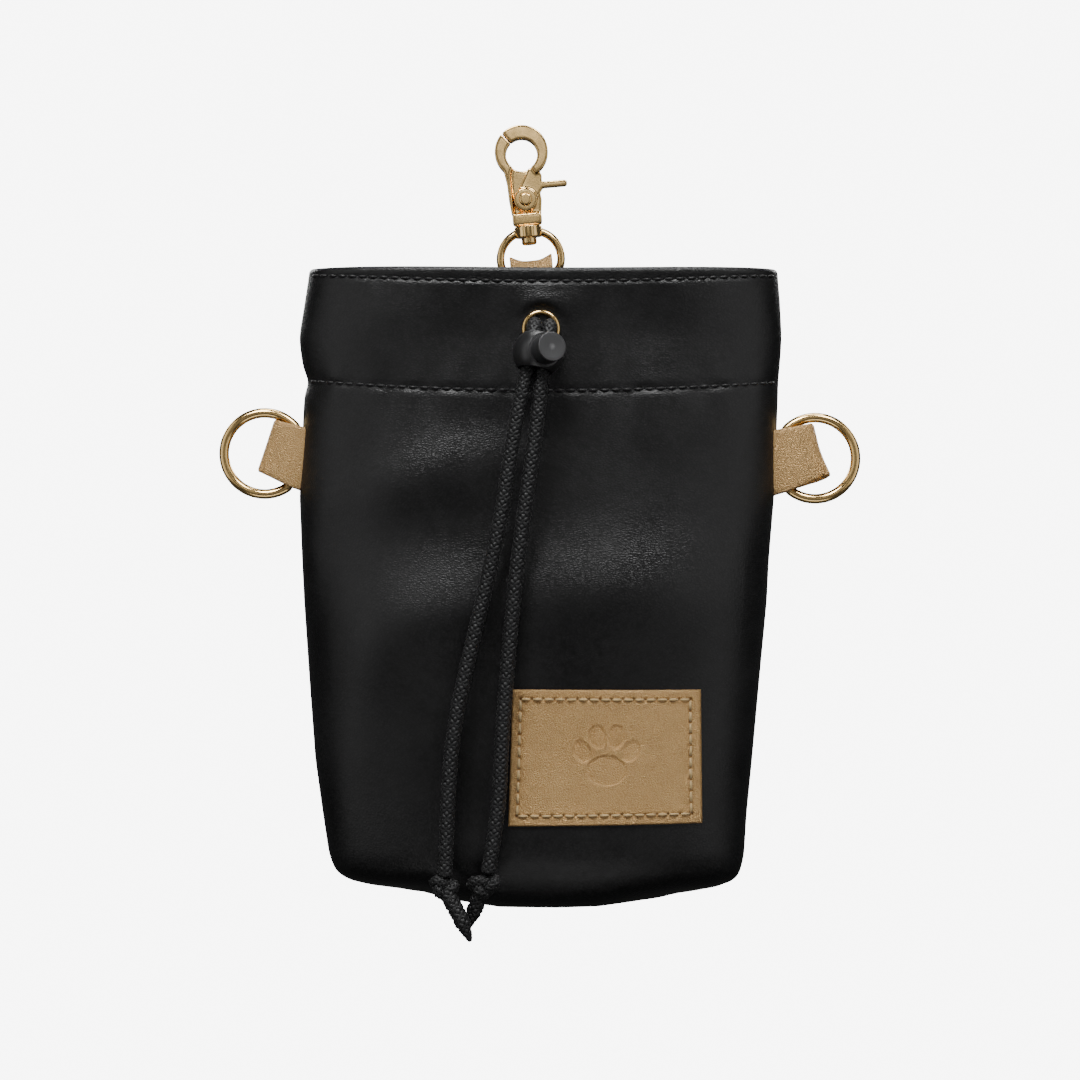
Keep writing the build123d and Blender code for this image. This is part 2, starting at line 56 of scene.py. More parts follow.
def new_object(name, data):
    """An object with this data, linked into the scene."""
    made = bpy.data.objects.new(name, data)
    bpy.context.collection.objects.link(made)
    return made


def add_camera():
    data = bpy.data.cameras.new("camera")
    data.sensor_width = SENSOR
    data.lens = SENSOR * CAMERA_DISTANCE / VIEW_WIDTH
    data.clip_start = 0.05
    camera = new_object("camera", data)
    camera.location = (VIEW_CENTRE_X, POUCH_Y - CAMERA_DISTANCE, VIEW_CENTRE_Z)
    camera.rotation_euler = (pi / 2, 0, 0)
    bpy.context.scene.camera = camera


add_camera()


# ================================================================================================
# Node helpers and materials
# ================================================================================================
class Shader:
    """A new material with its Principled shader and short ways to add nodes."""

    def __init__(self, name, color, roughness, metallic=0.0):
        self.material = bpy.data.materials.new(name)
        self.material.use_nodes = True
        self.tree = self.material.node_tree
        self.surface = self.tree.nodes["Principled BSDF"]
        self.surface.inputs["Base Color"].default_value = (*color, 1)
        self.surface.inputs["Roughness"].default_value = roughness
        self.surface.inputs["Metallic"].default_value = metallic
        self.place = self.node("ShaderNodeTexCoord").outputs["Object"]

    def node(self, kind, **settings):
        """A new node with these settings."""
        made = self.tree.nodes.new(kind)
        for key, value in settings.items():
            setattr(made, key, value)
        return made

    def join(self, source, target):
        self.tree.links.new(source, target)

    def scaled(self, scale):
        """Object coordinates times a scale for each axis."""
        mapping = self.node("ShaderNodeMapping")
        mapping.inputs["Scale"].default_value = scale
        self.join(self.place, mapping.inputs["Vector"])
        return mapping.outputs["Vector"]

    def noise(self, scale, detail, stretch=(1, 1, 1)):
        """Smooth noise. A larger stretch makes its features shorter on that axis."""
        made = self.node("ShaderNodeTexNoise")
        made.inputs["Scale"].default_value = scale
        made.inputs["Detail"].default_value = detail
        self.join(self.scaled(stretch), made.inputs["Vector"])
        return made.outputs["Fac"]

    def cells(self, scale, stretch):
        """Distance to the edge of the nearest cell."""
        made = self.node("ShaderNodeTexVoronoi", feature="DISTANCE_TO_EDGE")
        made.inputs["Scale"].default_value = scale
        self.join(self.scaled(stretch), made.inputs["Vector"])
        return made.outputs["Distance"]

    def remap(self, source, low, high, out_low, out_high, curve="LINEAR"):
        """The source with its range from low to high moved to the other range."""
        made = self.node("ShaderNodeMapRange", interpolation_type=curve)
        limits = {"From Min": low, "From Max": high, "To Min": out_low, "To Max": out_high}
        for key, value in limits.items():
            made.inputs[key].default_value = value
        self.join(source, made.inputs["Value"])
        return made.outputs["Result"]

    def mix(self, factor, dark, light, target):
        """Puts a colour between dark and light into an input of the surface."""
        made = self.node("ShaderNodeMix", data_type="RGBA")
        made.inputs["A"].default_value = (*dark, 1)
        made.inputs["B"].default_value = (*light, 1)
        self.join(factor, made.inputs["Factor"])
        self.join(made.outputs["Result"], self.surface.inputs[target])

    def add(self, first, second, weight):
        """The first value plus the second times a weight."""
        made = self.node("ShaderNodeMath", operation="MULTIPLY_ADD")
        self.join(second, made.inputs[0])
        made.inputs[1].default_value = weight
        self.join(first, made.inputs[2])
        return made.outputs["Value"]

    def bump(self, height, strength, distance):
        """Makes the surface look raised by the height."""
        made = self.node("ShaderNodeBump")
        made.inputs["Strength"].default_value = strength
        made.inputs["Distance"].default_value = distance
        self.join(height, made.inputs["Height"])
        self.join(made.outputs["Normal"], self.surface.inputs["Normal"])


PEBBLE_HEIGHT = 0.14 * MM
FINE_HEIGHT = 0.04 * MM  # of polishing marks and moulded texture


def leather(name, dark, light, grain, roughness, strength, gloss, metallic=0.0):
    """Pebbled faux leather: rounded pebbles with creases between them, and a fine tooth. Its colour is darker
    down in the creases, which is painted shade, and patchy at random.

    grain is about the number of pebbles in a metre, and strength the share of their height that shows.
    """
    shader = Shader(name, light, roughness, metallic)
    shader.surface.inputs["Specular IOR Level"].default_value = gloss
    pebbles = shader.cells(grain, stretch=(0.8, 1, 1.25))
    domes = shader.remap(pebbles, 0.0, 0.30, 0.0, 1.0, "SMOOTHSTEP")
    tooth = shader.noise(grain * 1.7, 3.0)
    patches = shader.noise(55, 3.0)
    height = shader.add(domes, tooth, 1.3)
    shader.bump(height, strength, PEBBLE_HEIGHT)
    # painted shade: the base colour darkens down in the creases between the pebbles; the patches on top are
    # the leather's own uneven tone
    tone = shader.add(shader.remap(domes, 0, 1, 0.0, 0.6), patches, 0.6)
    shader.mix(tone, dark, light, "Base Color")
    worn = shader.add(shader.remap(patches, 0.3, 0.7, roughness - 0.05, roughness + 0.06), tooth, 0.12)
    shader.join(worn, shader.surface.inputs["Roughness"])
    return shader.material


def metal(name, color, roughness):
    """Plated metal with faint polishing marks and handling smudges."""
    shader = Shader(name, color, roughness, 1.0)
    smudges = shader.noise(320, 4.0)
    marks = shader.noise(900, 2.0, stretch=(1, 1, 6))
    shader.join(shader.remap(smudges, 0.3, 0.7, roughness - 0.03, roughness + 0.07),
                shader.surface.inputs["Roughness"])
    shader.mix(smudges, tuple(0.9 * c for c in color), color, "Base Color")
    shader.bump(shader.add(smudges, marks, 0.4), 0.12, FINE_HEIGHT)
    return shader.material


def plastic(name, dark, light, roughness):
    """Moulded plastic with a fine spark-eroded texture."""
    shader = Shader(name, light, roughness)
    texture = shader.noise(5200, 2.0)
    mottle = shader.noise(260, 3.0)
    shader.mix(mottle, dark, light, "Base Color")
    shader.join(shader.remap(mottle, 0.3, 0.7, roughness - 0.04, roughness + 0.06),
                shader.surface.inputs["Roughness"])
    shader.bump(texture, 0.22, FINE_HEIGHT)
    return shader.material


def thread(name, dark, light, roughness, sheen):
    """Twisted filament: fine slanting ridges and uneven tone."""
    shader = Shader(name, light, roughness)
    fibres = shader.noise(2600, 3.0, stretch=(1.6, 1.6, 0.6))
    shader.mix(fibres, dark, light, "Base Color")
    shader.bump(fibres, 0.5, 0.08 * MM)
    shader.surface.inputs["Specular IOR Level"].default_value = 0.35
    shader.surface.inputs["Sheen Weight"].default_value = sheen
    shader.surface.inputs["Sheen Roughness"].default_value = 0.4
    return shader.material


def woven(name, dark, light):
    """Plain-woven lining cloth."""
    shader = Shader(name, light, 0.85)
    waves = []
    for direction in ("X", "Z"):
        wave = shader.node("ShaderNodeTexWave", wave_type="BANDS", bands_direction=direction)
        wave.inputs["Scale"].default_value = 420
        wave.inputs["Distortion"].default_value = 0.6
        shader.join(shader.place, wave.inputs["Vector"])
        waves.append(wave.outputs["Fac"])
    cloth = shader.add(waves[0], waves[1], 1.0)
    shader.mix(shader.remap(cloth, 0, 2, 0, 1), dark, light, "Base Color")
    shader.bump(cloth, 0.4, 0.1 * MM)
    return shader.material


BLACK_LEATHER = leather("black_leather", (0.0004, 0.0004, 0.0004), (0.0060, 0.0060, 0.0064), grain=1200,
                        roughness=0.30, strength=0.29, gloss=0.38)
GOLD_LEATHER = leather("gold_leather", (0.385, 0.222, 0.084), (0.57, 0.362, 0.158), grain=1900,
                       roughness=0.32, strength=1.0, gloss=0.5, metallic=0.6)
GOLD_METAL = metal("gold_metal", (0.92, 0.62, 0.25), 0.14)
SPRING_STEEL = metal("spring_steel", (0.62, 0.62, 0.63), 0.25)
LOCK_PLASTIC = plastic("lock_plastic", (0.009, 0.009, 0.0095), (0.013, 0.013, 0.0135), 0.36)
BUTTON_PLASTIC = plastic("button_plastic", (0.020, 0.020, 0.021), (0.028, 0.028, 0.0295), 0.40)
CORD_FIBRE = thread("cord_fibre", (0.002, 0.002, 0.0022), (0.0065, 0.0065, 0.007), 0.48, 0.06)
BLACK_THREAD = thread("black_thread", (0.003, 0.003, 0.0032), (0.010, 0.010, 0.0105), 0.42, 0.1)
GOLD_THREAD = thread("gold_thread", (0.30, 0.20, 0.085), (0.54, 0.39, 0.19), 0.5, 0.2)
LINING_CLOTH = woven("lining_cloth", (0.006, 0.006, 0.007), (0.018, 0.018, 0.02))


# ================================================================================================
# Mesh helpers
# ================================================================================================
def mesh_piece(name, verts, faces, material, body, stands_for=()):
    """A mesh object in the row frame that rides on a body and stands for CAD nodes."""
    mesh = bpy.data.meshes.new(name)
    mesh.from_pydata([tuple(map(float, v)) for v in verts], [], [tuple(map(int, f)) for f in faces])
    mesh.update()
    mesh.materials.append(material)
    mesh.shade_smooth()
    piece = new_object(name, mesh)
    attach(piece, body)
    if stands_for:
        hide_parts(*stands_for)
    return piece


def grid_faces(rows, columns, ring=False, start=0):
    """Quads between the rows of a grid whose points are stored row by row."""
    faces = []
    last = columns if ring else columns - 1
    for i in range(rows - 1):
        for j in range(last):
            k = (j + 1) % columns
            a = start + i * columns
            faces.append((a + j, a + k, a + columns + k, a + columns + j))
    return faces


def tube_faces(rings, around, start=0):
    """Quads between the rings of a tube, and a face over each end."""
    faces = grid_faces(rings, around, ring=True, start=start)
    faces.append(tuple(range(start + around - 1, start - 1, -1)))
    end = start + (rings - 1) * around
    faces.append(tuple(range(end, end + around)))
    return faces


def modifier(piece, kind, **settings):
    """Adds a modifier with these settings."""
    made = piece.modifiers.new(kind.lower(), kind)
    for key, value in settings.items():
        setattr(made, key, value)


def apply_modifiers(piece):
    """Puts what the modifiers make into the mesh itself, shaded smooth."""
    graph = bpy.context.evaluated_depsgraph_get()
    mesh = bpy.data.meshes.new_from_object(piece.evaluated_get(graph))
    piece.modifiers.clear()
    piece.data = mesh
    mesh.shade_smooth()


def thicken(piece, thickness):
    """Gives an open surface its thickness."""
    modifier(piece, "SOLIDIFY", thickness=thickness, offset=-1)
    apply_modifiers(piece)


def headings(path):
    """Unit vectors along a path."""
    along = np.gradient(path, axis=0)
    return along / np.linalg.norm(along, axis=1)[:, None]


def distances(path):
    """How far along the path each of its points is."""
    return np.concatenate([[0], np.cumsum(np.linalg.norm(np.diff(path, axis=0), axis=1))])


def travelling_frames(path):
    """Two side vectors at each point of a path, turned as little as possible."""
    tangents = headings(path)
    side = np.cross(tangents[0], (0.0, 0.0, 1.0))
    if np.linalg.norm(side) < 0.2:
        side = np.cross(tangents[0], (1.0, 0.0, 0.0))
    side /= np.linalg.norm(side)
    sides = []
    for tangent in tangents:
        side = side - tangent * np.dot(side, tangent)
        side = side / np.linalg.norm(side)
        sides.append(side)
    sides = np.array(sides)
    return sides, np.cross(tangents, sides)


def respaced(path, step):
    """The same path with evenly spaced points."""
    along = distances(path)
    count = max(4, int(round(along[-1] / step)))
    where = np.linspace(0, along[-1], count + 1)
    return np.stack([np.interp(where, along, path[:, k]) for k in range(3)], axis=1)


def tube_rings(path, radii, sides, ups, around):
    """Points of a round tube, ring by ring."""
    angles = np.arange(around) * 2 * pi / around
    rings = []
    for point, radius, side, up in zip(path, radii, sides, ups):
        for angle in angles:
            rings.append(point + radius * (cos(angle) * side + sin(angle) * up))
    return rings


def closed_tube(path, radii, around, verts, faces):
    """Adds a tube with closed ends to lists of points and faces."""
    sides, ups = travelling_frames(path)
    start = len(verts)
    verts.extend(tube_rings(path, radii, sides, ups, around))
    faces.extend(tube_faces(len(path), around, start))


# ================================================================================================
# Cords: routes, braid, knots and tails. No other piece is made before them
# ================================================================================================
CORD_D = 4.1 * MM
CORD_YARNS = 6  # in each direction
CORD_LAY = 8.8 * MM  # a yarn's travel along the cord in one turn
KNOT_CORD_D = 3.4 * MM  # the cord is squeezed in its knot
KNOT_LAY = 7.5 * MM
KNOT_INSET_MM = 1.45  # from the knot's outside to the middle of its cord
TAIL_D = 1.12 * CORD_D  # and a little loose past it
TAIL_TAPER = 5.5 * MM
EYELET = Vector((5.67, 0, -53.4)) * MM
CORD_START_Y = -38.9
ROUTES_MM = {
    "left": [
        (3.57, CORD_START_Y, -53.3), (3.57, -42.7, -53.3), (4.221, -50.150, -51.827),
        (1.758, -53.289, -66.389), (-1.5, -53.2, -80.5), (-5.0, -52.4, -104.0),
        (-8.6, -51.2, -121.5), (-14.4, -49.8, -145.0), (-18.9, -48.7, -166.0),
        (-20.4, -47.9, -187.0), (-21.0, -47.2, -206.0),
    ],
    "right": [
        (7.77, CORD_START_Y, -53.3), (7.77, -42.7, -53.3), (8.362, -50.150, -52.527),
        (5.899, -53.289, -67.090), (4.5, -53.1, -81.0), (1.0, -52.5, -105.0),
        (-1.3, -51.4, -122.5), (-3.5, -50.0, -146.0), (-5.3, -48.8, -169.0),
        (-5.9, -47.9, -187.5), (-9.0, -47.2, -205.0),
    ],
}
TAILS_MM = {
    "left": [(-20.9, -47.4, -210.2), (-18.6, -48.2, -214.0), (-16.2, -48.6, -218.4), (-13.9, -48.7, -224.0)],
    "right": [(-11.0, -46.4, -209.9), (-12.1, -45.0, -213.6), (-13.4, -44.2, -217.0), (-15.0, -43.9, -221.2)],
}
KNOTS_MM = {  # centre, half sizes, and lean in degrees
    "left": ((-21.4, -47.1, -209.0), (4.15, 3.1, 3.2), -12.0),
    "right": ((-10.2, -47.0, -208.5), (4.7, 3.2, 3.4), 8.0),
}


def nurbs_line(name, points_mm):
    """The smooth line of a route: a NURBS spline with the route's points as its control points."""
    curve = bpy.data.curves.new(name, "CURVE")
    curve.dimensions = "3D"
    curve.resolution_u = 24
    spline = curve.splines.new("NURBS")
    spline.points.add(len(points_mm) - 1)
    for point, place in zip(spline.points, points_mm):
        point.co = (*(c * MM for c in place), 1)
    spline.order_u = 3
    spline.use_endpoint_u = True
    holder = new_object(name, curve)
    bpy.context.view_layer.update()
    graph = bpy.context.evaluated_depsgraph_get()
    mesh = bpy.data.meshes.new_from_object(holder.evaluated_get(graph))
    path = np.array([v.co[:] for v in mesh.vertices])
    bpy.data.objects.remove(holder)
    bpy.data.curves.remove(curve)
    bpy.data.meshes.remove(mesh)
    return path


def braid(path, diameter, lay=CORD_LAY, taper=0.0):
    """A tubular braid round a core: flat yarns that wind both ways and pass over and under.

    taper is the length over which a cut end is pressed thin, to 22 percent of its width.
    """
    path = respaced(path, 0.45 * MM)
    sides, ups = travelling_frames(path)
    along = distances(path)
    verts, faces = [], []
    point = np.ones(len(path))
    if taper:
        point = 0.22 + 0.78 * np.clip((along[-1] - along) / taper, 0, 1) ** 0.8
    closed_tube(path, 0.36 * diameter * point, 14, verts, faces)
    # radius of the yarns' middle, their swing in and out, and half of a yarn's width and thickness
    middle = 0.385 * diameter
    swing = 0.060 * diameter
    half_width = 0.138 * diameter
    half_height = 0.088 * diameter
    around = 8
    for way in (1, -1):
        for n in range(CORD_YARNS):
            angle = way * 2 * pi * along / lay + 2 * pi * n / CORD_YARNS
            phase = CORD_YARNS * 2 * pi * along / lay + pi * n
            radius = (middle + way * swing * np.cos(phase)) * point
            out = np.cos(angle)[:, None] * sides + np.sin(angle)[:, None] * ups
            centre = path + radius[:, None] * out
            flat = np.cross(headings(centre), out)
            start = len(verts)
            for c, o, f, size in zip(centre, out, flat, point):
                for k in range(around):
                    turn = 2 * pi * k / around
                    verts.append(c + size * (half_width * cos(turn) * f + half_height * sin(turn) * o))
            faces.extend(tube_faces(len(path), around, start))
    return verts, faces


def knot_path(centre, half_sizes, lean):
    """An overhand knot pulled tight: a trefoil line that fills the half sizes.

    It is a closed loop, and the cord and the tail run into it.
    """
    turn = np.linspace(0, 2 * pi, 121)
    line = np.stack([
        (np.sin(turn) + 2 * np.sin(2 * turn)) / 2.75,
        -np.sin(3 * turn) * 0.62,
        (np.cos(turn) - 2 * np.cos(2 * turn)) / 2.75,
    ], axis=1)
    line = line * (np.array(half_sizes) - KNOT_INSET_MM)
    tilt = radians(lean)
    x = line[:, 0] * cos(tilt) - line[:, 2] * sin(tilt)
    z = line[:, 0] * sin(tilt) + line[:, 2] * cos(tilt)
    return (np.stack([x, line[:, 1], z], axis=1) + np.array(centre)) * MM


def add_cords():
    """Both strands with their knots and tails."""
    for side in ("left", "right"):
        line = nurbs_line(f"{side}_line", ROUTES_MM[side])
        verts, faces = braid(line, CORD_D)
        strand = mesh_piece(f"cord_{side}", verts, faces, CORD_FIBRE, "pouch",
                            [f"drawstring_{side}"])
        centre, half_sizes, lean = KNOTS_MM[side]
        verts, faces = braid(knot_path(centre, half_sizes, lean), KNOT_CORD_D, lay=KNOT_LAY)
        knot = mesh_piece(f"knot_{side}", verts, faces, CORD_FIBRE, "pouch",
                          [f"{side}_knot"])
        tail_line = nurbs_line(f"{side}_tail_line", TAILS_MM[side])
        verts, faces = braid(tail_line, TAIL_D, taper=TAIL_TAPER)
        tail = mesh_piece(f"tail_{side}", verts, faces, CORD_FIBRE, "pouch",
                          [f"{side}_tail"])


add_cords()

# ================================================================================================
# Pouch shape. Heights, depths and tables are in mm, and wall_point turns them into metres
# ================================================================================================
RIM_Z = -35.3
ROLL = 1.3  # radius of the rim's fold
WALL_TOP = RIM_Z - 1.35  # just under the fold
BASE_Z = -214.6
BASE_X = 5.2
SWELL_WIDE, SWELL_DEEP = 0.3, 0.4  # added to the table's half width and half depth
LEATHER = 0.55 * MM  # thickness
COLUMNS = 300  # points across a panel
# height, half width, half depth and centre x, from the rim to the base
SECTIONS_MM = np.array([
    (-30.0, 66.3, 19.2, 6.6), (RIM_Z, 66.6, 19.2, 6.4), (-44.0, 67.5, 18.8, 6.1),
    (-55.0, 68.0, 18.5, 5.5), (-68.0, 67.4, 19.0, 5.9), (-74.0, 67.5, 19.3, 5.6),
    (-100.0, 67.6, 20.3, 4.5), (-118.0, 66.5, 20.9, 4.1), (-130.0, 65.9, 21.2, 4.1),
    (-152.0, 64.1, 21.6, 3.8), (-175.0, 62.2, 20.9, 3.6), (-190.0, 60.4, 20.2, 3.9),
    (-202.0, 59.1, 19.2, 4.4), (-207.0, 57.4, 17.6, 4.6), (-210.8, 52.4, 15.0, 4.8),
    (-213.2, 44.5, 12.2, 5.0), (BASE_Z, 36.0, 9.6, BASE_X), (-216.0, 27.0, 7.0, 5.3),
])[::-1]
FINE_Z = np.linspace(-216, -30, 1861)


def smooth_column(column, width):
    """A column of the section table at close heights, with its corners rounded."""
    values = np.interp(FINE_Z, SECTIONS_MM[:, 0], SECTIONS_MM[:, column])
    reach = 3 * width
    kernel = np.exp(-0.5 * (np.arange(-reach, reach + 1) / width) ** 2)
    padded = np.pad(values, reach, mode="reflect", reflect_type="odd")
    return np.convolve(padded, kernel / kernel.sum(), mode="valid")


FINE = {column: smooth_column(column, 14) for column in (1, 2, 3)}


def section_at(z):
    """Half width, half depth and centre x at heights in millimetres."""
    half_width, half_depth, centre = (np.interp(z, FINE_Z, FINE[column]) for column in (1, 2, 3))
    return half_width + SWELL_WIDE, half_depth + SWELL_DEEP, centre


def bulge(share):
    """Depth of the section, from 1 in the middle to 0 at the seams, where share is -1 and 1."""
    return (1 - np.abs(share) ** 2.5) ** 0.58


def hem_line(x):
    """Height of the hem's stitches: a little lower in the middle of the front."""
    return -39.5 + 2.0 * ((x - 6.0) / 65.0) ** 2


def channel_line(x):
    """Height of the stitches that close the drawstring's channel."""
    return -70.6 + 3.1 * ((x - 8.0) / 67.0) ** 2


def bell(value, width):
    """1 where the value is 0, falling away smoothly on both sides."""
    return np.exp(-((value / width) ** 2))


# soft folds: x, z, slope in degrees, half length, half width and height
FRONT_FOLDS = [
    (-40, -48, 75, 12, 9, 0.5), (36, -52, 80, 12, 10, -0.5), (6.8, -46.5, 0, 7, 4.5, 1.2),
    (-32, -96, 15, 24, 9, 1.5), (-30, -135.5, 18, 25, 14, 3.0), (28, -129.5, 8, 36, 17, 3.8),
    (-6, -80, -10, 18, 7, -0.6), (-46, -160, 78, 34, 9, 0.8), (-13, -172, 86, 34, 12, -0.9),
    (54, -162, 80, 34, 10, 0.6), (4, -201, 0, 34, 8, 0.8), (-52, -110, 70, 22, 7, -0.6),
]
BACK_FOLDS = [
    (30, -90, 24, 30, 10, 1.1), (-24, -108, -24, 34, 10, 1.2), (10, -140, 10, 38, 11, -1.2),
    (36, -150, 70, 30, 10, 0.9), (-36, -164, 80, 32, 9, -1.0), (0, -186, 0, 40, 9, 1.1),
]


def folds(x, z, table):
    """How far the folds raise the leather. They fade out just above the base."""
    total = np.zeros_like(x)
    for x0, z0, slope, length, width, height in table:
        c, s = cos(radians(slope)), sin(radians(slope))
        along = (x - x0) * c + (z - z0) * s
        across = -(x - x0) * s + (z - z0) * c
        total += height * bell(along, length) * bell(across, width)
    return total * np.clip((z + 209) / 14, 0, 1)


def puckers(x, z, line_z, reach, phase):
    """Short gathers that a row of stitches pulls into the leather, flattest under the stitches."""
    wave = np.sin(x / 1.75 + phase) + 0.7 * np.sin(x / 2.9 + 2.1 * phase) + 0.5 * np.sin(x / 4.6)
    return 0.16 * wave * bell(z - line_z, reach) * (1 - 0.85 * bell(z - line_z, 0.9))


EYELET_DEPTH = 19.2  # the front leather's depth under the eyelet
EYELET_FLAT, EYELET_BLEND = 8.2, 2.6  # radius of the leather pressed flat, and the width of its edge
EYELET_HOLE = 4.72  # radius
EYELET_RISE = 0.4  # how far the flange's rim stands off the leather
# how the base hangs between its corners: x and the height it is moved by
BASE_SAG_MM = np.array([
    (-60, 0.0), (-53, -0.3), (-46, 1.0), (-35, 1.9), (-28, 2.0), (-17, -0.2), (-6, -1.7), (10, -1.9),
    (22, -1.6), (34, -0.2), (44, 0.6), (52, 0.1), (58, -0.9), (62, -2.8), (68, -3.0),
])


def base_sag(points):
    """Points in metres, moved down or up where the base hangs unevenly."""
    moved = points.copy()
    share = np.clip((-190 - points[..., 2] / MM) / 23, 0, 1) ** 2
    moved[..., 2] += np.interp(points[..., 0] / MM, BASE_SAG_MM[:, 0], BASE_SAG_MM[:, 1]) * share * MM
    return moved


def wall_point(angle, z, front, inset=0.0):
    """Points of the outer leather in metres. angle runs from the left seam, 0, to the right, pi.

    inset is how far inside the outer leather they are.
    """
    half_width, half_depth, centre = section_at(z)
    share = -np.cos(angle)
    x = centre + (half_width - inset) * share
    depth = (half_depth - inset) * bulge(share)
    calm = np.clip(np.sin(angle) * 2.2, 0, 1)
    lift = folds(x, z, FRONT_FOLDS if front else BACK_FOLDS)
    lift += puckers(x, z, channel_line(x), 6.5, 0.4 if front else 1.9)
    lift += 0.6 * puckers(x, z, hem_line(x), 3.2, 2.7 if front else 0.8)
    lift -= 0.32 * bell(z - channel_line(x), 1.2)
    lift -= 0.38 * bell(z - hem_line(x), 0.8)
    depth = depth + lift * calm
    if front:
        # pressed flat under the eyelet and round it
        from_eyelet = np.hypot(x - EYELET.x / MM, z - EYELET.z / MM)
        near = np.clip((EYELET_FLAT - from_eyelet) / EYELET_BLEND, 0, 1)
        near = near * near * (3 - 2 * near)
        depth = depth * (1 - near) + EYELET_DEPTH * near
    # the seams pull in where the channel's stitches end, and the edge turns under all the way
    notch = np.where(share > 0, 0.1, 0.9) * bell(z - channel_line(x), 3.0) - 0.7 * bell(z + 55, 9)
    tuck = np.clip(1 - np.sin(angle) / 0.075, 0, 1) ** 2
    x = x - np.sign(share) * np.abs(share) ** 12 * notch - np.sign(share) * 0.75 * tuck
    y = depth if not front else -depth
    return np.stack([x * MM, POUCH_Y + y * MM, np.broadcast_to(z, x.shape) * MM], axis=-1)


def wall_heights():
    """Heights of the wall's rows, closer together at the stitches and the base's edge."""
    heights = [BASE_Z]
    while heights[-1] < WALL_TOP - 0.05:
        fine = -73 < heights[-1] < -46 or heights[-1] > -42 or heights[-1] < -200
        heights.append(heights[-1] + (0.42 if fine else 1.0))
    heights[-1] = WALL_TOP
    return heights


def rim_drop(x):
    """How far the rim sags: most in the middle, while the seams hold it up."""
    return 0.95 * bell(x - 10, 45) - 0.2 - 0.4 * bell(x + 64, 3.5)


def hang_rim(points):
    """Moves points in metres down where the rim sags."""
    upper = np.clip((points[..., 2] / MM + 46) / 9, 0, 1)
    points[..., 2] -= rim_drop(points[..., 0] / MM) * MM * upper**2


def leather_half(name, front, node):
    """One panel: from the base seam up the wall, over the rolled rim and a little way inside."""
    angle = np.linspace(0, pi, COLUMNS)
    rows = []
    # the bottom: its rows narrow from the wall's foot to the seam in the middle plane
    closing = wall_point(angle, np.full(COLUMNS, BASE_Z), front)
    for share in np.linspace(0, 1, 9)[:-1]:
        x = BASE_X * MM + (closing[:, 0] - BASE_X * MM) * (0.90 + 0.10 * share)
        y = POUCH_Y + (closing[:, 1] - POUCH_Y) * (0.02 + 0.98 * share)
        z = closing[:, 2] - 0.35 * MM * (1 - share**2) + 0.5 * MM * bell(share, 0.16)
        rows.append(np.stack([x, y, z], axis=-1))
    for z in wall_heights():
        rows.append(wall_point(angle, np.full(COLUMNS, z), front))
    for turn in np.linspace(0, pi, 11)[1:]:
        inset = ROLL * (1 - cos(turn))
        height = RIM_Z - ROLL + ROLL * sin(turn)
        rows.append(wall_point(angle, np.full(COLUMNS, height), front, inset))
    for step in (1.0, 2.4):
        rows.append(wall_point(angle, np.full(COLUMNS, RIM_Z - ROLL - step), front, 2 * ROLL))
    rows = base_sag(np.array(rows))
    hang_rim(rows)
    faces = grid_faces(len(rows), COLUMNS)
    if front:
        middles = rows.reshape(-1, 3)[np.array(faces)].mean(axis=1)
        clear = np.hypot(middles[:, 0] - EYELET.x, middles[:, 2] - EYELET.z) > EYELET_HOLE * MM
        faces = [f for f, keep in zip(faces, clear) if keep]
    else:
        faces = [f[::-1] for f in faces]
    piece = mesh_piece(name, rows.reshape(-1, 3), faces, BLACK_LEATHER, "pouch", [node])
    thicken(piece, LEATHER)
    return piece


front_leather = leather_half("leather_front", True, "front_panel")
back_leather = leather_half("leather_back", False, "back_panel")


def add_inner_layers():
    """The facing that makes the drawstring's channel, and the cloth lining below it."""
    angle = np.linspace(0, 2 * pi, 2 * COLUMNS, endpoint=False)
    front_half = np.sin(angle) >= 0
    folded = np.where(front_half, angle, 2 * pi - angle)

    def ring(z, inset):
        near = wall_point(folded, np.full(len(folded), z), True, inset)
        far = wall_point(folded, np.full(len(folded), z), False, inset)
        return np.where(front_half[:, None], near, far)

    def band(name, profile, thickness, material, node, cap=False):
        rows = [ring(z, inset) for z, inset in profile]
        if cap:
            floor = rows[-1]
            for share in (0.75, 0.5, 0.25, 0.05):
                rows.append(floor * [share, share, 1] + np.array([BASE_X * MM, POUCH_Y, 0]) * (1 - share))
        rows = base_sag(np.array(rows))
        faces = [f[::-1] for f in grid_faces(len(rows), len(angle), ring=True)]
        piece = mesh_piece(name, rows.reshape(-1, 3), faces, material, "pouch", [node])
        thicken(piece, thickness)
        return piece

    # (height, inset) profiles: the facing leaves room for the drawstring at the eyelet's height
    facing = [(z, 2.7 + 4.6 * float(bell(z - EYELET.z / MM, 9.5)))
              for z in np.arange(RIM_Z - 2.2, -73.2, -1.0)]
    facing_band = band("channel_facing", facing, 0.5 * MM, BLACK_LEATHER, "mouth_facing")
    bag = [(z, 3.4 + 0.8 * sin(z / 9.0)) for z in np.arange(-70.5, -212.0, -2.2)]
    lining_bag = band("cloth_lining", bag, 0.3 * MM, LINING_CLOTH, "lining", cap=True)


add_inner_layers()


# ================================================================================================
# Stitches
# ================================================================================================
STITCH_PITCH = 3.2 * MM
SEAM_MARGIN = 0.2  # the angle left free at each seam


